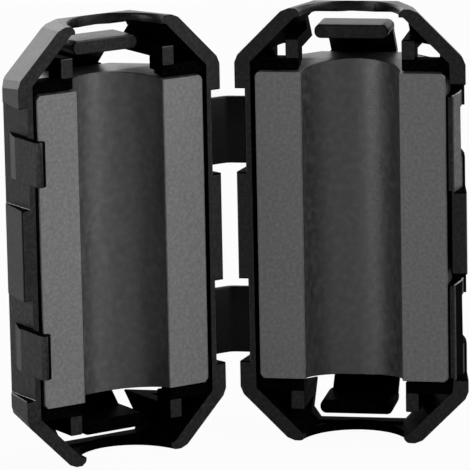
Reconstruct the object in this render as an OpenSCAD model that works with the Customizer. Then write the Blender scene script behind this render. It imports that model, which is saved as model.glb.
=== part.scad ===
// Clip-on ferrite bead: two half shells on living hinges, each with half a ferrite core.
// The clip stands on one end, open like a book. The cable runs along Z.
// x runs from the hinge to the latch, y is the depth into a half, z runs along the cable.
// The origin is the centre of the catch half's cable channel, in its mating face.

/* [Ferrite cores] */
// Radius of the cable channel
bore_r = 3.5; // [3:0.1:4]
// Width of each half core across its mating face
core_w = 13.7; // [13:0.1:15]
// Length of each half core at its mating face
core_l = 22.4; // [20:0.2:26]
// Ferrite left behind the channel
core_back = 2.9; // [2.6:0.1:3.4]
// Ferrite left behind the channel, measured square to the bevels
core_bevel_back = 3.15; // [2.6:0.05:3.4]
// Growth of each core end from its mating face down to the channel's depth
core_end_lean = 0.42; // [0.1:0.02:0.6]
// Radius of the upright corners of a core
core_corner_r = 0.4; // [0.2:0.1:0.8]

/* [Half shell] */
// Gap between a core's sides and the side walls
core_gap = 0.28; // [0.1:0.02:0.4]
// Gap between a core's bevels and the shell's bevels
bevel_gap = 0.13; // [0.05:0.01:0.3]
// Thickness of the side walls at the rim
side_wall = 1.16; // [1:0.02:1.5]
// How far a side wall leans in before its bevel starts
side_lean = 0.55; // [0.2:0.05:0.7]
// Thickness of the bevelled walls
bevel_wall = 0.95; // [0.8:0.05:1.2]
// Thickness of the back wall
back_wall = 1.1; // [0.8:0.1:1.4]
// Room from the end of a core to the outside of the end wall
end_bay = 4.6; // [4.4:0.1:5.2]
// Thickness of the upright end wall
end_wall = 0.6; // [0.5:0.05:0.8]
// Depth at which the end wall turns into its slope
end_depth = 3.55; // [3.2:0.05:3.8]
// Thickness of the sloped end wall
slope_wall = 0.7; // [0.6:0.05:0.9]
// Size of the chamfered corners of the rim
corner_chamfer = 3.6; // [3:0.1:4]
// Thickness of the chamfered corner walls at the rim
corner_wall = 1; // [0.8:0.05:1.2]
// Thickness of the bevels under the chamfered corners
corner_bevel_wall = 0.8; // [0.7:0.05:0.9]
// How far a corner wall leans in before its bevel starts
corner_lean = 0.74; // [0.1:0.02:0.9]
// Depth at which a corner wall turns into its bevel
corner_depth = 3.6; // [2.2:0.1:3.8]
// Radius that softens the chamfered corners of the rim
corner_round = 1.5; // [0.8:0.1:3]

/* [Cable openings] */
// Room around the channel's radius at the end notches
notch_gap = 0.05; // [0.05:0.05:0.3]
// Radius that rounds the tips of the rim beside each notch
tip_round = 0.4; // [0.25:0.05:0.5]
// Height of that rounding at the deepest point of a notch
notch_lip = 0.1; // [0.1:0.05:0.2]
// Width of the window behind each notch
window_w = 7.4; // [6.4:0.1:7.6]
// Size of the chamfers at the window's outer corners
window_chamfer = 0.6; // [0.3:0.05:0.8]
// Height of the bar between the window and the end of the shell
window_bar = 0.76; // [0.6:0.02:1]
// Overlap of the back wall past the window's sill, inside the core's end
sill_inset = 0.25; // [0.1:0.05:0.4]
// Thickness of the ribs that flank the window
rib_t = 0.92; // [0.7:0.02:1.1]
// Depth of a rib's front under the rim
rib_depth = 0.25; // [0.15:0.05:0.3]
// Length of a rib from the retainer ledge to its tip
rib_l = 1.4; // [1.2:0.05:1.6]
// Depth under the rim of the back of a rib's post
post_depth = 2.1; // [1.9:0.05:2.3]
// How far the slot at the window's sill reaches past the ribs
slot_reach = 1.35; // [0.6:0.05:1.45]
// Length of that slot along the cable
slot_l = 1.25; // [0.7:0.05:1.35]

/* [Cable grip tongue] */
// Width of the tongue's neck
neck_w = 4.8; // [4.4:0.1:5.2]
// Thickness of the neck
neck_t = 0.55; // [0.45:0.05:0.7]
// How far the tongue lies under the sloped wall's outer face
tongue_inset = 0.08; // [0.04:0.02:0.4]
// Width of the cross bar at the tongue's tip
head_w = 5.3; // [5:0.1:5.6]
// How far the cross bar lies off the middle, towards the hinge
head_shift = 0.2; // [0:0.05:0.3]
// Height of the cross bar along the cable
head_h = 1; // [0.7:0.05:1.1]
// Depth of the edge that grips the cable
head_depth = 2.2; // [1.8:0.1:2.6]
// Room between the cross bar and the bar over the window
head_gap = 0.76; // [0.5:0.02:0.9]
// Radius of the cross bar's ends
head_round = 0.45; // [0.2:0.05:0.45]

/* [Core retainers] */
// Depth of the retainer ledges under the rim
ledge_depth = 0.3; // [0.3:0.05:0.8]
// Height of a retainer ledge
ledge_h = 1.2; // [0.8:0.05:1.4]
// Distance from a core's end, at full length, to the far side of a ledge
ledge_l = 0.55; // [0.4:0.05:0.7]
// Clearance between a ledge and the core
ledge_gap = 0.06; // [0.05:0.01:0.12]

/* [Living hinges] */
// Width of each hinge strap along the cable
strap_w = 4.9; // [4:0.1:5.5]
// Thickness of a strap
strap_t = 0.45; // [0.3:0.05:0.5]
// Distance from a strap's centre to the end of the cores' mating faces
strap_inset = 4.26; // [3.8:0.02:4.6]
// Free room at each edge of a strap
strap_gap = 0.58; // [0.4:0.02:0.8]
// Depth of the hinge recess in the side wall
hinge_recess = 0.7; // [0.5:0.05:0.8]
// Distance from the side walls to the hinge line
hinge_offset = 0.56; // [0.4:0.02:0.6]
// Gap left between the two mating faces when closed
mating_gap = 0.05; // [0.02:0.01:0.1]
// Opening angle between the halves as they stand
open_angle = 137.2; // [100:0.2:170]

/* [Snap hooks and catches] */
// Width of each hook along the cable
hook_w = 3.2; // [2.6:0.1:3.6]
// Distance from a hook's centre to the end of the cores' mating faces
hook_inset = 4.35; // [3.9:0.05:4.6]
// Height of a hook over the mating face
hook_rise = 2.45; // [2.2:0.05:2.8]
// Thickness of a hook's arm
hook_t = 0.55; // [0.45:0.01:0.6]
// Depth under the rim at which a hook grows out of the wall
hook_root = 2.6; // [1.6:0.1:2.8]
// How far a hook's barb reaches in from its arm
barb_reach = 0.3; // [0.2:0.01:0.35]
// Height of the barb's latching face over the mating face
barb_height = 1.8; // [1.6:0.05:2]
// Width of the recess around a hook
recess_w = 7.2; // [6:0.1:7.4]
// Width of a catch along the cable, pad and ramp
catch_w = 6.95; // [6.4:0.05:7.1]
// How far a catch's centre lies below its hook's centre
catch_drop = 0.68; // [0.4:0.02:0.8]
// Length of the relief slot over each catch
relief_l = 0.75; // [0.5:0.05:0.85]
// Depth of the recess around a hook
hook_recess = 0.7; // [0.6:0.05:0.8]
// Depth of the catch's ramp at the rim
ramp_recess = 0.9; // [0.84:0.02:1.1]
// Running clearance between a hook and its catch
catch_gap = 0.05; // [0.03:0.01:0.1]
// Room over a hook in its pocket
pocket_gap = 0.1; // [0.1:0.05:0.3]
// Room under a hook in its pocket, which the pocket's slanted floor takes up at its inner edge
pocket_drop = 0.8; // [0.7:0.05:0.9]
// Room past a hook's tip in the catch's recess
tip_gap = 0.1; // [0.05:0.05:0.2]
// Gap left between the core and the pads behind the catches
pad_gap = 0.06; // [0.03:0.01:0.1]

/* [Hidden] */
$fn = 64;
over = 1;                                              // how far a cutter runs past a face
cavity_hw = core_w / 2 + core_gap;
half_hw = cavity_hw + side_wall;                       // half the width of a half shell
core_hl = core_l / 2;
half_hl = core_hl + end_bay;                           // half the length of a half shell
core_d = bore_r + core_back;
half_d = core_d + back_wall;
root2 = sqrt(2);
core_bevel_sum = (bore_r + core_bevel_back) * root2;   // x + y along a core's bevel
cavity_bevel_sum = core_bevel_sum + bevel_gap * root2;
bevel_sum = cavity_bevel_sum + bevel_wall * root2;
slope_sum = half_hl + end_depth;                       // z + y along the sloped end
cavity_slope_sum = slope_sum - slope_wall * root2;
cavity_hl = half_hl - end_wall;
corner_u = (half_hw + half_hl - corner_chamfer) / root2;
rim_set = 0.02;                                        // how far the rim's corners lie outside
corner_bevel_u = corner_u - corner_lean + corner_depth / root2;
corner_in_u = corner_bevel_u - corner_bevel_wall * sqrt(1.5);
core_full_hl = core_hl + core_end_lean;
notch_r = bore_r + notch_gap;
sill_z = core_full_hl - sill_inset;
window_z = half_hl - window_bar;                       // upper edge of the window
slot_z = sill_z + slot_l;                              // upper edge of the slot at the sill
ledge_z = core_full_hl + ledge_l;                      // far side of the retainer ledges
rib_x = window_w / 2;
strap_slot_w = strap_w + 2 * strap_gap;
strap_pitch = core_l - 2 * strap_inset;                // distance between the two straps' centres
hook_pitch = core_l - 2 * hook_inset;                  // distance between the two hooks' centres
hinge_x = -half_hw - hinge_offset;
hinge_y = -mating_gap / 2;
hook_in_x = half_hw - hook_t;                          // inner face of a hook's arm
ridge_x = hook_in_x - catch_gap;                       // top of the catch's ramp
barb_x = hook_in_x - barb_reach;
pocket_x = barb_x - catch_gap;
catch_depth = barb_height - mating_gap - catch_gap;    // depth of the ledge that a barb holds
arm_depth = hook_rise - mating_gap + tip_gap;          // depth of the recess that takes a hook's arm

// Rounded octagon in plan, drawn with x across and z along.
module rim_outline(hw, hl, chamfer, r) {
    set = r * (root2 - 1);
    side = [hw - r, hl - chamfer - set];
    end = [hw - chamfer - set, hl - r];
    slant = r / root2;
    quarter = [
        [hw, side[1]],
        side + [slant, slant],
        end + [slant, slant],
        [end[0], hl]
    ];
    back = [for (i = [3:-1:0]) quarter[i]];
    polygon(concat(
        quarter,
        [for (p = back) [-p[0], p[1]]],
        [for (p = quarter) [-p[0], -p[1]]],
        [for (p = back) [p[0], -p[1]]]
    ));
    for (sx = [-1, 1], sz = [-1, 1], c = [side, end])
        translate([sx * c[0], sz * c[1]])
            circle(r);
}

// Turns a drawing with z across and y up into a slab that runs along x.
module along_x(length) {
    rotate([0, -90, 0])
        linear_extrude(length, center = true)
            children();
}

// Copies a piece to both ends of the half.
module both_ends() {
    children();
    mirror([0, 0, 1])
        children();
}

// Copies a piece to both sides of the half.
module both_sides() {
    children();
    mirror([1, 0, 0])
        children();
}

// Copies a piece to the two places along the cable that are a pitch apart.
module at_pitch(pitch) {
    for (s = [-1, 1])
        translate([0, 0, s * pitch / 2])
            children();
}

// Boat-shaped solid under the mating face: leaning sides and corners, bevels and sloped ends.
// A corner leans in from cu by its tilt until it meets a bevel that starts from b_u.
// The rim's round corners lie a hair outside the walls, so that each wall cuts them cleanly.
module boat(hw, lean, b_sum, hl, s_sum, cu, b_u, depth, r, top) {
    rim_u = cu + rim_set;
    chamfer = hw + hl + 2 * rim_set - rim_u * root2;
    tilt = corner_lean / corner_depth;
    turn = (b_u - cu) / (1 / root2 - tilt);
    difference() {
        intersection() {
            linear_extrude(2 * hl, center = true)
                polygon([
                    [-hw, -top], [hw, -top], [hw, 0],
                    [hw - lean, b_sum - hw + lean], [b_sum - depth, depth],
                    [depth - b_sum, depth], [lean - hw, b_sum - hw + lean], [-hw, 0]
                ]);
            along_x(2 * hw)
                polygon([
                    [-hl, -top], [hl, -top], [hl, s_sum - hl],
                    [s_sum - depth, depth], [depth - s_sum, depth], [-hl, s_sum - hl]
                ]);
            translate([0, depth, 0])
                rotate([90, 0, 0])
                    linear_extrude(depth + top)
                        rim_outline(hw + rim_set, hl + rim_set, chamfer, r);
        }
        both_ends() both_sides()
            rotate([0, -45, 0])
                linear_extrude(2 * hl, center = true)
                    polygon([
                        [cu, 0], [cu - tilt * turn, turn], [b_u - (depth + over) / root2, depth + over],
                        [cu + hl, depth + over], [cu + hl, 0]
                    ]);
    }
}

module outer_form() {
    set = corner_round * (root2 - 1);
    lean = corner_lean / corner_depth;
    difference() {
        boat(half_hw, side_lean, bevel_sum, half_hl, slope_sum,
            corner_u, corner_bevel_u, half_d, corner_round, 0);
        both_ends() both_sides() {
            soft_edge(22.5, [half_hw - corner_round, half_hl - corner_chamfer - set], lean);
            soft_edge(67.5, [half_hw - corner_chamfer - set, half_hl - corner_round], 0.7 * lean);
        }
    }
}

// Cutter that takes the upright edge between two outer walls down to a plane that faces at an
// angle from the latch side, just inside the rim's round corner, and leans in with the walls.
module soft_edge(angle, centre, lean) {
    reach = centre[0] * cos(angle) + centre[1] * sin(angle) + corner_round;
    deep = half_d + over;
    rotate([0, -angle, 0])
        linear_extrude(3 * half_hl, center = true)
            polygon([
                [reach + lean * over, -over], [reach - lean * deep, deep],
                [reach + half_hw, deep], [reach + half_hw, -over]
            ]);
}

module cavity() {
    boat(cavity_hw, 0, cavity_bevel_sum, cavity_hl, cavity_slope_sum,
        corner_u - corner_wall, corner_in_u, core_d, corner_round / 3, over);
}

// Half round cable notch with a rounded mouth, and the T-shaped window behind it, in both ends.
module cable_openings() {
    slot_hw = rib_x + rib_t + slot_reach;
    cylinder(h = 2 * half_hl + 2 * over, r = notch_r, center = true);
    both_ends() {
        notch_mouth();
        translate([0, half_d + over, 0])
            rotate([90, 0, 0])
                linear_extrude(half_d + 2 * over)
                    window_outline();
        translate([-slot_hw, post_depth, sill_z])
            cube([2 * slot_hw, half_d, slot_l]);
    }
}

// Window as seen along the depth, chamfered at the corners next to its bar.
module window_outline() {
    side_z = window_z - window_chamfer;
    top_x = rib_x - window_chamfer;
    polygon([
        [-rib_x, sill_z], [rib_x, sill_z], [rib_x, side_z],
        [top_x, window_z], [-top_x, window_z], [-rib_x, side_z]
    ]);
}

// Cutter that rounds the edge where a notch meets the end of the shell. It leans out with depth,
// so it rounds the rim's tips most.
module notch_mouth() {
    fade = atan((tip_round - notch_lip) / notch_r);
    translate([0, -0.1 * tip_round, half_hl])
        rotate([fade, 0, 0])
            rotate_extrude()
                difference() {
                    translate([0, -1.2 * tip_round])
                        square([notch_r + 1.2 * tip_round, 1.5 * tip_round]);
                    translate([notch_r + 1.366 * tip_round, -1.366 * tip_round])
                        circle(1.414 * tip_round);
                }
}

// Rib beside the window: its post stands on the retainer ledge, its web over the slot.
module rib() {
    foot_z = core_full_hl + ledge_gap;
    tip_z = ledge_z + rib_l;
    translate([rib_x + rib_t / 2, 0, 0])
        along_x(rib_t)
            polygon([
                [tip_z, rib_depth], [ledge_z, rib_depth], [ledge_z, ledge_depth],
                [foot_z, ledge_depth], [foot_z, post_depth], [slot_z, post_depth],
                [slot_z, half_d], [tip_z, half_d]
            ]);
}

// Ledge that keeps the core's end down: it reaches from the rib to the side wall.
// Its inner face leans as the core's end does.
module ledge() {
    out_x = cavity_hw + side_wall / 2;
    deep = ledge_depth + ledge_h;
    foot = core_hl + ledge_gap;
    lean = core_end_lean / bore_r;
    translate([(rib_x + out_x) / 2, 0, 0])
        along_x(out_x - rib_x)
            polygon([
                [foot + lean * ledge_depth, ledge_depth], [ledge_z, ledge_depth],
                [ledge_z, deep], [foot + lean * deep, deep]
            ]);
}

// T-shaped tongue that grips the cable: a neck in the sloped wall's plane and a cross bar.
module tongue() {
    outer_sum = slope_sum - tongue_inset * root2;
    inner_sum = outer_sum - neck_t * root2;
    head_z = window_z - head_gap;                      // outer face of the cross bar
    bar_z = head_z - head_h / 2;                       // middle of the cross bar
    low_z = head_z - head_h;
    foot_z = core_full_hl + ledge_gap;
    along_x(neck_w)
        polygon([
            [sill_z - side_wall, core_d], [foot_z, core_d], [foot_z, inner_sum - foot_z],
            [bar_z, inner_sum - bar_z], [bar_z, outer_sum - bar_z], [sill_z, outer_sum - sill_z],
            [sill_z - side_wall, half_d - tongue_inset]
        ]);
    translate([-head_shift, 0, 0])
        intersection() {
            along_x(head_w)
                polygon([
                    [low_z, inner_sum - low_z], [low_z, head_depth], [head_z, head_depth],
                    [head_z, outer_sum - head_z], [low_z, outer_sum - low_z]
                ]);
            translate([0, outer_sum - low_z, bar_z])
                rotate([90, 0, 0])
                    linear_extrude(outer_sum)
                        cross_bar();
        }
}

// Cross bar as seen along the depth.
module cross_bar() {
    square([head_w - 2 * head_round, head_h], center = true);
    square([head_w, head_h - 2 * head_round], center = true);
    for (sx = [-1, 1], sz = [-1, 1])
        translate([sx * (head_w / 2 - head_round), sz * (head_h / 2 - head_round)])
            circle(head_round);
}

// Recess in the hinge-side wall that a strap folds into.
module hinge_slots() {
    at_pitch(strap_pitch)
        translate([-half_hw - over, -over, -strap_slot_w / 2])
            cube([over + hinge_recess, half_d + 2 * over, strap_slot_w]);
}

// What both half shells share.
module half_shell() {
    difference() {
        outer_form();
        cavity();
        cable_openings();
        hinge_slots();
        children();
    }
    intersection() {
        outer_form();
        both_ends() {
            both_sides() {
                rib();
                ledge();
            }
            tongue();
        }
    }
}

// Recess beside a hook, cut straight down the leaning wall.
module hook_recesses() {
    at_pitch(hook_pitch)
        translate([half_hw - hook_recess, -over, -recess_w / 2])
            cube([hook_recess + over, half_d + 2 * over, recess_w]);
}

// Snap hook: an arm that grows out of the wall, with a barb that points at the core.
module hook() {
    wall_x = half_hw - hook_recess;
    tip_soft = hook_t / 3;
    linear_extrude(hook_w, center = true)
        polygon([
            [wall_x - hook_t / 2, 0], [wall_x - hook_t / 2, hook_root], [wall_x, hook_root],
            [half_hw - tip_soft, hook_root / 2], [half_hw, hook_root / 4],
            [half_hw, tip_soft - hook_rise], [half_hw - tip_soft, -hook_rise],
            [hook_in_x + tip_soft / 2, -hook_rise], [barb_x, -(hook_rise + barb_height) / 2],
            [barb_x, -barb_height], [hook_in_x, -barb_height], [hook_in_x, 0]
        ]);
}

// Ramp that spreads a hook, the pocket whose front ledge holds its barb, and the relief slot.
module catch_recesses() {
    ramp_x = half_hw - ramp_recess;
    wide = half_hw + over;
    low_z = -catch_drop - catch_w / 2;
    top_z = catch_w / 2 - catch_drop;
    room_z = hook_w / 2 + pocket_gap;
    floor_z = -hook_w / 2 - pocket_drop;
    at_pitch(hook_pitch) {
        translate([0, 0, low_z])
            linear_extrude(catch_w + relief_l / 2)
                polygon([
                    [ramp_x, -over], [ramp_x, 0], [ridge_x, catch_depth],
                    [ridge_x, arm_depth], [wide, arm_depth], [wide, -over]
                ]);
        translate([0, half_d + over, 0])
            rotate([90, 0, 0])
                linear_extrude(half_d + over - catch_depth)
                    polygon([
                        [pocket_x, room_z], [wide, room_z], [wide, floor_z - pocket_drop],
                        [half_hw, floor_z], [pocket_x, floor_z + pocket_drop]
                    ]);
        translate([cavity_hw - over, -over, top_z])
            cube([wide - cavity_hw + over, over + arm_depth, relief_l]);
    }
}

// Pads that thicken the wall behind the catches, up against the core.
module catch_pads() {
    pad_x = core_w / 2 + pad_gap;
    foot = cavity_bevel_sum - cavity_hw;
    at_pitch(hook_pitch)
        translate([0, 0, -catch_drop - catch_w / 2])
            linear_extrude(catch_w)
                polygon([
                    [pad_x, 0], [pad_x, foot],
                    [cavity_hw + hook_t / 4, foot], [cavity_hw + hook_t / 4, 0]
                ]);
}

module catch_shell() {
    color([0.16, 0.16, 0.17]) {
        half_shell()
            catch_recesses();
        catch_pads();
    }
}

// Puts a piece drawn like the catch half where the hook half stands.
module on_hook_half() {
    translate([hinge_x, hinge_y, 0])
        rotate([0, 0, -open_angle])
            translate([-hinge_x, hinge_y, 0])
                mirror([0, 1, 0])
                    children();
}

module hook_shell() {
    color([0.18, 0.18, 0.19])
        on_hook_half() {
            half_shell()
                hook_recesses();
            at_pitch(hook_pitch)
                hook();
        }
}

// Half core: bevelled at the back, with ends that lean out from the mating face.
module half_core() {
    hw = core_w / 2;
    difference() {
        intersection() {
            linear_extrude(2 * core_full_hl, center = true)
                polygon([
                    [-hw, 0], [hw, 0], [hw, core_bevel_sum - hw], [core_bevel_sum - core_d, core_d],
                    [core_d - core_bevel_sum, core_d], [-hw, core_bevel_sum - hw]
                ]);
            along_x(core_w)
                polygon([
                    [-core_hl, 0], [core_hl, 0], [core_full_hl, bore_r], [core_full_hl, core_d],
                    [-core_full_hl, core_d], [-core_full_hl, bore_r]
                ]);
        }
        cylinder(h = 2 * core_full_hl + 2 * over, r = bore_r, center = true);
        both_ends() both_sides()
            core_corner();
    }
}

// Cutter that rounds an upright corner of a core.
module core_corner() {
    big = core_corner_r + core_end_lean;
    translate([core_w / 2 - core_corner_r, core_d, core_hl - core_corner_r])
        rotate([90, 0, 0])
            linear_extrude(core_d + over)
                difference() {
                    square([core_corner_r + over, big + over]);
                    circle(core_corner_r);
                    square([core_corner_r - core_corner_r / root2, big]);
                }
}

module catch_core() {
    color([0.42, 0.43, 0.44])
        half_core();
}

module hook_core() {
    color([0.42, 0.43, 0.44])
        on_hook_half()
            half_core();
}

// Half of a strap, flush with the rim, from the recess to the hinge line.
module strap_leaf() {
    root_x = hinge_recess - half_hw;
    translate([hinge_x, 0, 0])
        linear_extrude(strap_w, center = true)
            square([root_x - hinge_x, strap_t]);
}

// Living hinge strap: two leaves and the bend that joins them behind the hinge line.
module strap() {
    bend_r = strap_t - hinge_y;
    reach = 2 * bend_r;
    strap_leaf();
    on_hook_half()
        strap_leaf();
    translate([hinge_x, hinge_y, 0])
        linear_extrude(strap_w, center = true)
            intersection() {
                circle(bend_r);
                polygon([
                    [0, 0], [0, reach],
                    reach * [-cos(open_angle / 2), sin(open_angle / 2)] * 2,
                    reach * [-sin(open_angle), -cos(open_angle)]
                ]);
            }
}

module upper_strap() {
    color([0.14, 0.14, 0.15])
        translate([0, 0, strap_pitch / 2])
            strap();
}

module lower_strap() {
    color([0.14, 0.14, 0.15])
        translate([0, 0, -strap_pitch / 2])
            strap();
}

catch_shell();
hook_shell();
catch_core();
hook_core();
upper_strap();
lower_strap();
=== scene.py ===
import bmesh
import bpy
import numpy as np
from mathutils import Matrix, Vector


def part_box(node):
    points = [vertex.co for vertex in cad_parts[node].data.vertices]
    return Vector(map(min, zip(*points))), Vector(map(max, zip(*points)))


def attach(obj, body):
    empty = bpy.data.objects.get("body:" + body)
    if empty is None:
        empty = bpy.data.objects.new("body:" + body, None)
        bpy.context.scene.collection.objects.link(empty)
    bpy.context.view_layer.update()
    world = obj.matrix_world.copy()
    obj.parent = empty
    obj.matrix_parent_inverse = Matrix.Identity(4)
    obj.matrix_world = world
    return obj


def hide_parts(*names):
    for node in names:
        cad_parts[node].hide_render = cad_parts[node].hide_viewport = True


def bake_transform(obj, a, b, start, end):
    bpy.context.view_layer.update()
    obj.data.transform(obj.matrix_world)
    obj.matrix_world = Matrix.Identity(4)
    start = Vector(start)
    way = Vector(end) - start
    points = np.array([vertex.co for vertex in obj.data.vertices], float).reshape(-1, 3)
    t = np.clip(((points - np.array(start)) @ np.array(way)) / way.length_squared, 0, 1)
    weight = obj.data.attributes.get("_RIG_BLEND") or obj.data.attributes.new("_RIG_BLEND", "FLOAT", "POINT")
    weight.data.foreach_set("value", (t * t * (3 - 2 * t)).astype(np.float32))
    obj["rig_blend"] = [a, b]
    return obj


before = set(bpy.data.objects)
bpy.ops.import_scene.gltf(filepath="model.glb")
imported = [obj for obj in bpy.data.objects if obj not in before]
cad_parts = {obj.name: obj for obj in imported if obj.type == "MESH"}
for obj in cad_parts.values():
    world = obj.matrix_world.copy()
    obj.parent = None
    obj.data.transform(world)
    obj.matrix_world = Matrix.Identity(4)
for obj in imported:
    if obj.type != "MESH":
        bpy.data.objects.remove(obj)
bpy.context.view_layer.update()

MM = 0.001


# ---- Camera --------------------------------------------------------------------------------
# A long lens a third of a metre in front of the open clip, a little to its right and above,
# looking down by twelve degrees and leaning by one.

CAMERA_PLACE = np.array([51.72, -332.62, 72.25]) * MM
CAMERA_YAW, CAMERA_PITCH, CAMERA_ROLL = np.radians([10.258, 12.179, -1.142])


def view_rows(yaw, pitch, roll):
    """The directions right, ahead and up, one to a row. The rows are the matrix that turns a
    vector about z by -yaw, then about x by pitch, then about y by roll."""
    cy, sy, cp, sp, cr, sr = (f(a) for a in (yaw, pitch, roll) for f in (np.cos, np.sin))
    about_z = np.array([[cy, sy, 0], [-sy, cy, 0], [0, 0, 1]])
    about_x = np.array([[1, 0, 0], [0, cp, -sp], [0, sp, cp]])
    about_y = np.array([[cr, 0, sr], [0, 1, 0], [-sr, 0, cr]])
    return about_y @ about_x @ about_z


right, ahead, up = view_rows(CAMERA_YAW, CAMERA_PITCH, CAMERA_ROLL)
camera_data = bpy.data.cameras.new("camera")
camera_data.lens = 369.6
camera_data.sensor_width = 36
camera_data.clip_start = 0.01
camera_data.clip_end = 10
camera = bpy.data.objects.new("camera", camera_data)
turn = np.eye(4)
turn[:3, :3] = np.stack([right, up, -ahead], axis=1)
turn[:3, 3] = CAMERA_PLACE
camera.matrix_world = Matrix(turn.tolist())
bpy.context.collection.objects.link(camera)
bpy.context.scene.camera = camera


# ---- Ferrite half cores --------------------------------------------------------------------
# Two half blocks of ferrite, pressed as powder with the cable trough in them, sintered, and
# ground flat on the mating face. Each is held in its shell by the walls and ledges.

# The angle between the mating faces and how far that is from flat open, the hinge line in plan
# in mm, and the directions in which the mating faces look.
OPEN_ANGLE = np.radians(137.2)
FOLD = np.pi - OPEN_ANGLE
HINGE_LINE = np.array([-8.85, -0.025])
MATING_FACES = {
    "catch_core": (0, -1, 0),
    "hook_core": (np.sin(FOLD), -np.cos(FOLD), 0),
}

# In mm and mm2: the trough, a face that counts as large, and how near an edge is to a lip.
TROUGH_RADIUS, TROUGH_SLACK = 3.5, 0.015
LARGE_FACE = 0.5
LIP_SLACK = 0.1

# Cosines: a corner's smooth normal is close to its face's own, and a facet faces the axis.
CLOSE_TO_OWN, TO_AXIS = 0.9, 0.8

# Corners closer than this, in metres, are one. Faces within the first angle are one plane, and
# edges over the second are shaded sharp.
JOINING_DISTANCE = 2e-7
FLAT_ANGLE, SMOOTH_ANGLE = np.radians([0.6, 35])

# A rounding may take this share of the way to a plain edge, and to another sharp edge.
SHARE_TO_PLAIN, SHARE_TO_SHARP = 0.9, 0.45

# In metres: edges and ways across a face that are too short to measure; and a share of an edge.
SHORTEST_EDGE, LEAST_WAY, END_SLACK = 1e-9, 1e-8, 1e-6

# Cosines between two edges at a corner: almost side by side, and almost straight on. A strip
# needs these multiples of its width on a plain edge, and on a sharp one with its own strip.
SIDE_BY_SIDE, STRAIGHT_ON = 0.85, -0.87
NEED_ON_PLAIN, NEED_ON_SHARP = 1.1, 2.1


def values_of(items, attribute, width=1, kind=float):
    """An attribute of a mesh's vertices, faces or corners: (n,), or (n, width) for vectors."""
    values = np.empty(len(items) * width, kind)
    items.foreach_get(attribute, values)
    return values.reshape(-1, width) if width > 1 else values


def room_beside(face, sharp):
    """How far an edge's rounding may reach into a face: (edge, reach) for each sharp edge of the
    face. From three places on the edge the way straight across the face is measured, and halved
    if it ends at another sharp edge."""
    corners = np.array([v.co for v in face.verts])
    normal = np.array(face.normal)
    loops = list(face.loops)
    step = np.roll(corners, -1, axis=0) - corners
    is_sharp = np.array([loop.edge in sharp for loop in loops])
    for k in np.flatnonzero(is_sharp):
        length = np.linalg.norm(step[k])
        if length < SHORTEST_EDGE:
            continue
        along = step[k] / length
        inward = np.cross(normal, along)
        reach = np.inf
        for share in (0.1, 0.5, 0.9):
            to_start = corners - (corners[k] + share * step[k])
            start, run = to_start @ along, step @ along
            with np.errstate(divide="ignore", invalid="ignore"):
                t = -start / run
                height = to_start @ inward + t * (step @ inward)
            crossing = (t >= -END_SLACK) & (t <= 1 + END_SLACK) & (height > LEAST_WAY)
            crossing[k] = False
            if crossing.any():
                distance = np.where(crossing, height, np.inf)
                nearest = distance.argmin()
                part = SHARE_TO_SHARP if is_sharp[nearest] else SHARE_TO_PLAIN
                reach = min(reach, distance[nearest] * part)
        yield loops[k].edge, reach


def has_room_at(edge, corner, sharp, width):
    """Whether the rounding of an edge can end or run on at a corner: every other edge there
    either carries on almost straight or is long enough, measured straight away from the edge,
    for a strip of this width."""
    along = (edge.other_vert(corner).co - corner.co).normalized()
    for other in corner.link_edges:
        if other is edge:
            continue
        away = other.other_vert(corner).co - corner.co
        cosine = along.dot(away.normalized())
        if cosine > SIDE_BY_SIDE:
            return False
        needed = width * (NEED_ON_SHARP if other in sharp else NEED_ON_PLAIN)
        if cosine > STRAIGHT_ON and away.length * np.sqrt(1 - cosine * cosine) < needed:
            return False
    return True


def modified(mesh, kind, **settings):
    """The mesh that one modifier makes of the given mesh, which is removed."""
    blank = bpy.data.objects.new("blank", mesh)
    bpy.context.collection.objects.link(blank)
    modifier = blank.modifiers.new("change", kind)
    for name, value in settings.items():
        setattr(modifier, name, value)
    depsgraph = bpy.context.evaluated_depsgraph_get()
    changed = bpy.data.meshes.new_from_object(blank.evaluated_get(depsgraph))
    bpy.data.objects.remove(blank)
    bpy.data.meshes.remove(mesh)
    return changed


def rounded(skin, width, segments, sharp_angle, lip_levels):
    """A bmesh's sharp convex edges rounded by a strip `width` metres wide wherever there is room:
    a new mesh. Concave edges, but for the lips at the given heights in mm, stay sharp, so that
    the closed halves keep their clearance."""
    layers, layer = skin.edges.layers.float, "bevel_weight_edge"
    weight = layers.get(layer) or layers.new(layer)
    least = np.radians(sharp_angle)
    sharp = {e for e in skin.edges if e.is_manifold and e.calc_face_angle(0) > least}
    room = dict.fromkeys(sharp, np.inf)
    for face in skin.faces:
        for e, reach in room_beside(face, sharp):
            room[e] = min(room[e], reach)
    for e in skin.edges:
        heights = [v.co.z / MM for v in e.verts]
        on_lip = any(all(abs(z - level) < LIP_SLACK for z in heights) for level in lip_levels)
        fits = e in sharp and (e.is_convex or on_lip) and room[e] >= width
        e[weight] = float(fits and all(has_room_at(e, v, sharp, width) for v in e.verts))
    mesh = bpy.data.meshes.new("blank")
    skin.to_mesh(mesh)
    how = {"limit_method": "WEIGHT", "use_clamp_overlap": False}
    return modified(mesh, "BEVEL", width=width, segments=segments, **how)


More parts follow.
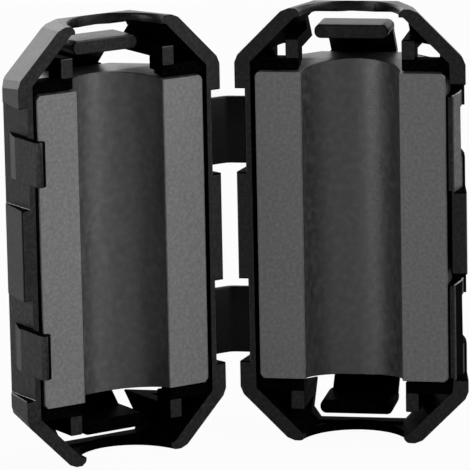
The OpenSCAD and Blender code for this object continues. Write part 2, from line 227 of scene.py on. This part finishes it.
def skin_of(node, name, roundings, lip_levels=()):
    """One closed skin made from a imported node: the loose triangles' corners are joined,
    neighbours that lie in one plane become one face, and sharp edges are rounded in passes of
    (width in mm, segments, least angle in degrees)."""
    skin = bmesh.new()
    skin.from_mesh(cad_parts[node].data)
    bmesh.ops.remove_doubles(skin, verts=skin.verts, dist=JOINING_DISTANCE)
    bmesh.ops.dissolve_limit(skin, angle_limit=FLAT_ANGLE, verts=skin.verts, edges=skin.edges)
    bmesh.ops.recalc_face_normals(skin, faces=skin.faces)
    for width, segments, sharp_angle in roundings:
        mesh = rounded(skin, width * MM, segments, sharp_angle, lip_levels)
        skin.clear()
        skin.from_mesh(mesh)
    skin.free()
    mesh.shade_smooth()
    mesh.set_sharp_from_angle(angle=SMOOTH_ANGLE)
    mesh = modified(mesh, "WEIGHTED_NORMAL", mode="FACE_AREA", weight=100, keep_sharp=True)
    mesh.name = name
    piece = bpy.data.objects.new(name, mesh)
    bpy.context.collection.objects.link(piece)
    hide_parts(node)
    return piece


def faces_along(mesh, direction, least):
    """True for each face whose normal lies within arccos(least) of a direction."""
    return values_of(mesh.polygons, "normal", 3) @ np.array(direction) > least


def set_normals(mesh, flats=None):
    """A face larger than LARGE_FACE (mm2) gives its own normal to its corners, and so does one
    whose smooth normal leans by over 26 degrees; the strips between such faces keep the smooth
    ones. Given the two flats beside a trough, the trough's long facets are shaded as the cylinder
    they stand for: normal = (axis - point) / |axis - point| in plan, with the axis midway between
    the flats."""
    centre = values_of(mesh.polygons, "center", 3)
    sides = values_of(mesh.polygons, "loop_total", kind=int)
    corner = values_of(mesh.loops, "vertex_index", kind=int)
    normal = values_of(mesh.corner_normals, "vector", 3)
    facing = np.repeat(values_of(mesh.polygons, "normal", 3), sides, axis=0)
    large = np.repeat(values_of(mesh.polygons, "area") > LARGE_FACE * MM * MM, sides)
    own = large | ((facing * normal).sum(axis=1) < CLOSE_TO_OWN)
    normal[own] = facing[own]
    if flats is not None:
        to_axis = centre[flats].mean(axis=0) - values_of(mesh.vertices, "co", 3)[corner]
        to_axis[:, 2] = 0
        radius = np.linalg.norm(to_axis, axis=1)
        to_axis /= radius[:, None]
        near = np.abs(radius / MM - TROUGH_RADIUS) < TROUGH_SLACK
        in_trough = near & ((facing * to_axis).sum(axis=1) > TO_AXIS)
        normal[in_trough] = to_axis[in_trough]
    mesh.normals_split_custom_set(normal.tolist())


def node_tree(name):
    """A new material with its Principled shader: (material, tree, shader, point in metres)."""
    material = bpy.data.materials.new(name)
    material.use_nodes = True
    tree = material.node_tree
    place = tree.nodes.new("ShaderNodeTexCoord")
    return material, tree, tree.nodes["Principled BSDF"], place.outputs["Object"]


def mottle(tree, point, size, detail, roughness):
    """Noise between 0 and 1 whose blotches are about `size` mm across."""
    noise = tree.nodes.new("ShaderNodeTexNoise")
    noise.inputs["Scale"].default_value = 1 / (size * MM)
    noise.inputs["Detail"].default_value = detail
    noise.inputs["Roughness"].default_value = roughness
    tree.links.new(point, noise.inputs["Vector"])
    return noise.outputs["Fac"]


def shades(tree, value, stops):
    """Colours along a value: stops are (position, linear colour)."""
    ramp = tree.nodes.new("ShaderNodeValToRGB")
    elements = ramp.color_ramp.elements
    for k in (0, -1):
        elements[k].position, colour = stops[k]
        elements[k].color = (*colour, 1)
    for position, colour in stops[1:-1]:
        elements.new(position).color = (*colour, 1)
    tree.links.new(value, ramp.inputs["Fac"])
    return ramp.outputs["Color"]


def add_grain(tree, shader, point, size):
    """A grain 0.03 mm deep, with grains about `size` mm across, in the shader's normal."""
    bump = tree.nodes.new("ShaderNodeBump")
    bump.inputs["Strength"].default_value = 0.6
    bump.inputs["Distance"].default_value = 0.03 * MM
    tree.links.new(mottle(tree, point, size, 2, 0.5), bump.inputs["Height"])
    tree.links.new(bump.outputs["Normal"], shader.inputs["Normal"])


def ferrite_finish(name, greys, speckle_size, roughness):
    """Ferrite in three greys of a fine speckle, over a fine grain."""
    material, tree, shader, point = node_tree(name)
    speckle = mottle(tree, point, speckle_size, 1.5, 0.4)
    stops = [(at, (grey, grey, grey * 1.01)) for at, grey in zip((0.3, 0.5, 0.7), greys)]
    tree.links.new(shades(tree, speckle, stops), shader.inputs["Base Color"])
    add_grain(tree, shader, point, 0.16)
    shader.inputs["Roughness"].default_value = roughness
    shader.inputs["IOR"].default_value = 2.3
    return material


fired_ferrite = ferrite_finish("fired_ferrite", (0.012, 0.03, 0.06), 0.5, 0.4)
ground_ferrite = ferrite_finish("ground_ferrite", (0.066, 0.094, 0.128), 0.24, 0.66)
for node, body in (("catch_core", "catch_half"), ("hook_core", "hook_half")):
    core = skin_of(node, node + "_block", [(0.09, 3, 24), (0.04, 2, 50)])
    core.data.materials.append(fired_ferrite)
    core.data.materials.append(ground_ferrite)
    ground = faces_along(core.data, MATING_FACES[node], 0.999)
    core.data.polygons.foreach_set("material_index", ground.astype(np.int32))
    set_normals(core.data, ground)
    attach(core, body)


# ---- Moulded half shells -------------------------------------------------------------------
# Black nylon, injection moulded in one shot with the straps. One half carries the two catch
# pockets and the other the two snap hooks; the tongues at the ends grip the cable.


def nylon_finish(name, grey, specular, spread=2.0):
    """Moulded black nylon: a fine grain, faint clouds in the gloss, and rubbed high spots that
    are `spread` times as pale."""
    material, tree, shader, point = node_tree(name)
    fine = mottle(tree, point, 0.26, 1.5, 0.4)
    steps = ((0.3, 0.9 / spread), (0.5, 1.0), (0.72, spread))
    stops = [(at, (grey * k, grey * k, grey * k * 1.02)) for at, k in steps]
    tree.links.new(shades(tree, fine, stops), shader.inputs["Base Color"])
    gloss = tree.nodes.new("ShaderNodeMapRange")
    gloss.inputs["To Min"].default_value = 0.3
    gloss.inputs["To Max"].default_value = 0.4
    tree.links.new(mottle(tree, point, 2.2, 3, 0.55), gloss.inputs["Value"])
    tree.links.new(gloss.outputs["Result"], shader.inputs["Roughness"])
    add_grain(tree, shader, point, 0.18)
    shader.inputs["Specular IOR Level"].default_value = specular
    return material


# Where a shell's faces lie, in mm. A reach is a distance from the clip's middle along the cable,
# and a clearance is how much of the shell stands in front of a face.
TONGUE_REACH, TONGUE_HALF_WIDTH = (11.9, 14.5), 3.1
RAMP_REACH = (2.7, 9.7)
END_BAR_FROM = 13.6
RIM_DEPTH = 0.275
INSIDE_CLEARANCE, OUTSIDE_CLEARANCE = 1.5, 1
LIP_FACE_SLACK = 0.06

# Cosines: facing straight along the mating face's normal or a ramp's, and leaning that way.
STRAIGHT, RAMP_STRAIGHT, LEANING, TURNED_BACK = 0.97, 0.99, 0.2, -0.55


def shell_finishes(mesh, normal, ramp_normal, lip_levels, outward):
    """For each face of a shell: 0 on the tongues and end bars; 1 on the rims, ribs and upper
    tongue's front, painted lighter as painted light; 2 on the inside, painted dark as painted
    shade; 3 on the upper catch's ramp, a painted highlight; 4 on the lips above the ramps and
    under the hooks, pale painted glints; 5 on the outer walls, which have less than 1 mm of the
    shell in front of them, painted lighter as painted light. A face is inside when a corner of the
    shell stands more than 1.5 mm in front of it, except on the upper tongue and on the upper end
    bar's outer side; so are the ledges, the lower tongue's front and the lower catch's ramp."""
    centre = values_of(mesh.polygons, "center", 3) / MM
    facing = values_of(mesh.polygons, "normal", 3)
    corner = values_of(mesh.vertices, "co", 3) / MM
    in_front = (facing @ corner.T).max(axis=1) - (centre * facing).sum(axis=1)
    plan, height = centre[:, :2] - HINGE_LINE, centre[:, 2]
    depth = HINGE_LINE[1] - plan @ normal[:2]
    from_axis = np.abs(plan @ [-normal[1], normal[0]]) + HINGE_LINE[0]
    upper, reach = height > 0, np.abs(height)
    end_facing = np.sign(height) * facing[:, 2]

    def between(values, limits):
        return (values > limits[0]) & (values < limits[1])

    on_tongue = between(reach, TONGUE_REACH) & (np.abs(from_axis) < TONGUE_HALF_WIDTH)
    shown_tongue = upper & on_tongue
    to_front = facing @ normal > STRAIGHT
    # Painted light: these front faces near the opening take the lighter finish.
    front = to_front & ((depth < RIM_DEPTH) | shown_tongue)
    not_outer = (height < END_BAR_FROM) | (end_facing < TURNED_BACK)
    # Painted shade: faces deep in the shell, the dark fronts and the lower ramp take the dark finish.
    inside = (in_front > INSIDE_CLEARANCE) & ~shown_tongue & not_outer
    inside |= to_front & ~front & (reach < TONGUE_REACH[1])
    # Painted highlight on the upper ramp; the lower ramp is painted shade.
    ramp = (facing @ ramp_normal > RAMP_STRAIGHT) & between(reach, RAMP_REACH)
    inside |= ramp & ~upper
    on_lip = np.abs(height[:, None] - lip_levels).min(axis=1) < LIP_FACE_SLACK
    # Painted glints: the upward-leaning faces on the lips take a very pale finish.
    glint_lip = on_lip & between(facing[:, 2], (LEANING, STRAIGHT)) & (facing @ outward > LEANING)
    # Painted light: the outer walls take the lighter finish.
    outer = in_front < OUTSIDE_CLEARANCE
    return np.select([glint_lip, front, inside, ramp, outer], [4, 1, 2, 3, 5], 0).astype(np.int32)


moulded_nylon = nylon_finish("moulded_nylon", 0.003, 0.3)
# Rims, ribs and the upper tongue's front: the same nylon painted lighter, as painted light on the faces near
# the opening.
lit_front_nylon = nylon_finish("lit_front_nylon", 0.011, 0.3)
# Deep faces, ledges, the lower tongue's front and the lower ramp: the same nylon painted darker and nearly
# without reflection, as painted shade.
shaded_inner_nylon = nylon_finish("shaded_inner_nylon", 0.0015, 0.001)
# The upper catch's ramp: the same nylon painted pale and mottled, a painted highlight.
highlit_ramp_nylon = nylon_finish("highlit_ramp_nylon", 0.055, 0.3, 1.7)
# Lips above the ramps and under the hooks: the same nylon painted very pale, as painted glints.
glint_lip_nylon = nylon_finish("glint_lip_nylon", 0.3, 0.3)
# The outer walls: the same nylon painted lighter, as painted light and sheen.
lit_outer_nylon = nylon_finish("lit_outer_nylon", 0.034, 0.3, 1.5)
nylons = (moulded_nylon, lit_front_nylon, shaded_inner_nylon, highlit_ramp_nylon, glint_lip_nylon, lit_outer_nylon)

# Each half: its core, the normal of its ramps if it has any, the heights of its lips, and the
# way its latch wall looks.
for node, body, core, ramp_normal, lip_levels, outward in (
    ("catch_shell", "catch_half", "catch_core",
     (0.985, -0.173, 0), (9.65, -4.05), (0.985, -0.173, 0)),
    ("hook_shell", "hook_half", "hook_core",
     (0, 0, 0), (3.26, -10.44), (-0.73, -0.68, 0)),
):
    shell = skin_of(node, node + "_moulding", [(0.1, 3, 24), (0.045, 2, 50)], lip_levels)
    set_normals(shell.data)
    for finish in nylons:
        shell.data.materials.append(finish)
    directions = map(np.array, (MATING_FACES[core], ramp_normal, lip_levels, outward))
    shell.data.polygons.foreach_set("material_index", shell_finishes(shell.data, *directions))
    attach(shell, body)


# ---- Living hinge straps -------------------------------------------------------------------
# Two thin straps of the same moulding that join the halves. They bow back a little while the
# clip stands open, and bend round the hinge line as it is closed.

# In mm. The root is where a strap meets its wall, in x, the bow is half of the length that
# bends, and the rise is how far the straps' middles lie above their nodes'.
STRAP_WIDTH = 4.84
STRAP_THICKNESS = 0.45
STRAP_ROUNDING = 0.11
STRAP_ROOT = -7.57
STRAP_BOW = 0.55
STRAP_RISE = 0.04


def strap_path(steps=14, root_steps=4):
    """The strap's middle line in plan, from the catch half to the hook half. It leaves the wall
    straight, and its slope grows as one minus a sine to half of the fold on the plane that
    halves the fold; the other half is its mirror image in that plane. Returns points and the
    unit vectors across the strap, both (n, 2)."""
    along = np.linspace(0, 1, steps)
    slope = FOLD / 2 * (1 - np.sin(along * np.pi / 2))
    step = STRAP_BOW / (steps - 1)
    mean = (slope[1:] + slope[:-1]) / 2
    run = np.concatenate([[0], np.cumsum(np.cos(mean) * step)])
    rise = np.concatenate([[0], np.cumsum(np.sin(mean) * step)])
    halving = np.array([-np.sin(FOLD / 2), np.cos(FOLD / 2)])
    middle = (STRAP_THICKNESS / 2 - HINGE_LINE[1] - rise[-1]) / halving[1] * halving
    bend = middle + np.stack([run, rise], axis=1)
    across = np.stack([-np.sin(slope), np.cos(slope)], axis=1)
    straight = np.linspace(bend[-1, 0], STRAP_ROOT - HINGE_LINE[0], root_steps + 1)[1:]
    root = np.stack([straight, np.full(root_steps, bend[-1, 1])], axis=1)
    bend = np.concatenate([bend, root])
    across = np.concatenate([across, np.tile([0.0, 1.0], (root_steps, 1))])

    def mirrored(v):
        return 2 * (v @ halving)[:, None] * halving - v

    points = np.concatenate([bend[::-1], mirrored(bend[1:])])
    return points + HINGE_LINE, np.concatenate([across[::-1], mirrored(across[1:])])


def strap_section(corner_steps=4):
    """A rounded rectangle, anticlockwise: (across, along the cable) pairs in mm."""
    turn = np.linspace(0, np.pi / 2, corner_steps)
    quarter = STRAP_ROUNDING * np.stack([np.cos(turn), np.sin(turn)], axis=1)
    half = np.array([STRAP_THICKNESS / 2, STRAP_WIDTH / 2]) - STRAP_ROUNDING
    first = half + quarter
    second = (half + quarter[::-1]) * [-1, 1]
    return np.concatenate([first, second, -first, -second])


def strap_mesh(name, middle_z):
    """The section carried along the path: point = path + across * u, at height middle_z + v."""
    path, across = strap_path()
    section = strap_section()
    rings, corners = len(path), len(section)
    plan = path[:, None, :] + across[:, None, :] * section[None, :, :1]
    height = np.broadcast_to(middle_z + section[None, :, 1:], (rings, corners, 1))
    points = np.concatenate([plan, height], axis=2).reshape(-1, 3) * MM
    ring, corner = np.meshgrid(np.arange(rings - 1), np.arange(corners), indexing="ij")
    here, after = ring * corners + corner, ring * corners + (corner + 1) % corners
    sides = np.stack([here, after, after + corners, here + corners], axis=-1).reshape(-1, 4)
    ends = [tuple(range(corners))[::-1], tuple(range((rings - 1) * corners, rings * corners))]
    mesh = bpy.data.meshes.new(name)
    mesh.from_pydata(points.tolist(), [], sides.tolist() + ends)
    shape = bmesh.new()
    shape.from_mesh(mesh)
    bmesh.ops.recalc_face_normals(shape, faces=shape.faces)
    shape.to_mesh(mesh)
    shape.free()
    mesh.shade_smooth()
    mesh.set_sharp_from_angle(angle=SMOOTH_ANGLE)
    return mesh


# The straps: the same nylon painted darker and with less reflection, as painted shade where they lie between
# the halves.
shaded_leaf_nylon = nylon_finish("shaded_leaf_nylon", 0.0015, 0.14)
for node in ("upper_strap", "lower_strap"):
    low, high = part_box(node)
    middle_z = (low[2] + high[2]) / 2 / MM + STRAP_RISE
    strap = bpy.data.objects.new(node + "_leaf", strap_mesh(node + "_leaf", middle_z))
    bpy.context.collection.objects.link(strap)
    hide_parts(node)
    strap.data.materials.append(shaded_leaf_nylon)
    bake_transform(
        strap, "catch_half", "hook_half", start=(-0.0081, 0.0002, 0), end=(-0.0096, -0.0004, 0)
    )


# ---- Table and light -----------------------------------------------------------------------
# A white table top under the clip, soft lamps to the right, front left and back left of it, and
# a surround that looks white and lights it from behind.

# In metres, and the share of white that camera rays meet on the table.
TABLE_REACH, TABLE_HEIGHT = 3.0, -0.0158
SEEN_WHITE_SHARE = 0.96
LAMP_AIM = np.array([-0.008, 0, 0])


def cleared_tree(owner):
    """A material's or world's node tree with nothing in it."""
    owner.use_nodes = True
    owner.node_tree.nodes.clear()
    return owner.node_tree


def end_in_mix(tree, output_kind, lit, seen, share):
    """Ends a node tree: camera rays meet `seen` by a share, and all other light meets `lit`."""
    path = tree.nodes.new("ShaderNodeLightPath")
    part = tree.nodes.new("ShaderNodeMath")
    part.operation = "MULTIPLY"
    part.inputs[1].default_value = share
    mix = tree.nodes.new("ShaderNodeMixShader")
    tree.links.new(path.outputs["Is Camera Ray"], part.inputs[0])
    tree.links.new(part.outputs[0], mix.inputs["Fac"])
    tree.links.new(lit.outputs[0], mix.inputs[1])
    tree.links.new(seen.outputs[0], mix.inputs[2])
    tree.links.new(mix.outputs[0], tree.nodes.new(output_kind).inputs["Surface"])


table_mesh = bpy.data.meshes.new("table_top")
corners = ((-1, -1), (1, -1), (1, 1), (-1, 1))
table_corners = [(x * TABLE_REACH, y * TABLE_REACH, TABLE_HEIGHT) for x, y in corners]
table_mesh.from_pydata(table_corners, [], [(0, 1, 2, 3)])
table_top = bpy.data.objects.new("table_top", table_mesh)
bpy.context.collection.objects.link(table_top)

white_table = bpy.data.materials.new("white_table")
tree = cleared_tree(white_table)
paint = tree.nodes.new("ShaderNodeBsdfDiffuse")
paint.inputs["Color"].default_value = (0.4, 0.4, 0.4, 1)
glow = tree.nodes.new("ShaderNodeEmission")
glow.inputs["Strength"].default_value = 1.0
end_in_mix(tree, "ShaderNodeOutputMaterial", paint, glow, SEEN_WHITE_SHARE)
table_mesh.materials.append(white_table)

world = bpy.data.worlds.new("studio")
bpy.context.scene.world = world
tree = cleared_tree(world)
seen = tree.nodes.new("ShaderNodeBackground")
seen.inputs["Color"].default_value = (1, 1, 1, 1)
around = tree.nodes.new("ShaderNodeBackground")
place = tree.nodes.new("ShaderNodeTexCoord")
axes = tree.nodes.new("ShaderNodeSeparateXYZ")
depth = tree.nodes.new("ShaderNodeMapRange")
depth.inputs["From Min"].default_value = -1
tree.links.new(place.outputs["Generated"], axes.inputs[0])
tree.links.new(axes.outputs["Y"], depth.inputs["Value"])
front_to_back = [(0.45, (0.04,) * 3), (0.57, (0.45,) * 3), (0.68, (1,) * 3)]
tree.links.new(shades(tree, depth.outputs["Result"], front_to_back), around.inputs["Color"])
end_in_mix(tree, "ShaderNodeOutputWorld", around, seen, 1.0)


def soft_lamp(name, direction, distance, size, watts):
    """A square soft lamp at a distance in a direction from the clip's middle, facing it: both
    in metres, and its power in watts."""
    lamp_data = bpy.data.lights.new(name, "AREA")
    lamp_data.size = size
    lamp_data.energy = watts
    lamp = bpy.data.objects.new(name, lamp_data)
    back = np.array(direction, float) / np.linalg.norm(direction)
    side = np.cross([0, 0, 1], back)
    side /= np.linalg.norm(side)
    turn = np.eye(4)
    turn[:3, :3] = np.stack([side, np.cross(back, side), back], axis=1)
    turn[:3, 3] = LAMP_AIM + back * distance
    lamp.matrix_world = Matrix(turn.tolist())
    bpy.context.collection.objects.link(lamp)


def from_round(azimuth, elevation):
    """Direction from the clip, in degrees: azimuth from the front (-y) towards the right (+x),
    and elevation upwards."""
    a, e = np.radians([azimuth, elevation])
    return np.sin(a) * np.cos(e), -np.cos(a) * np.cos(e), np.sin(e)


soft_lamp("right_lamp", from_round(81, 32), 0.35, 0.27, 1.15)
soft_lamp("left_lamp", from_round(-45, 18), 0.22, 0.1, 0.15)
soft_lamp("back_lamp", from_round(-139, 17), 0.22, 0.2, 0.13)

bpy.context.scene.view_settings.view_transform = "Standard"
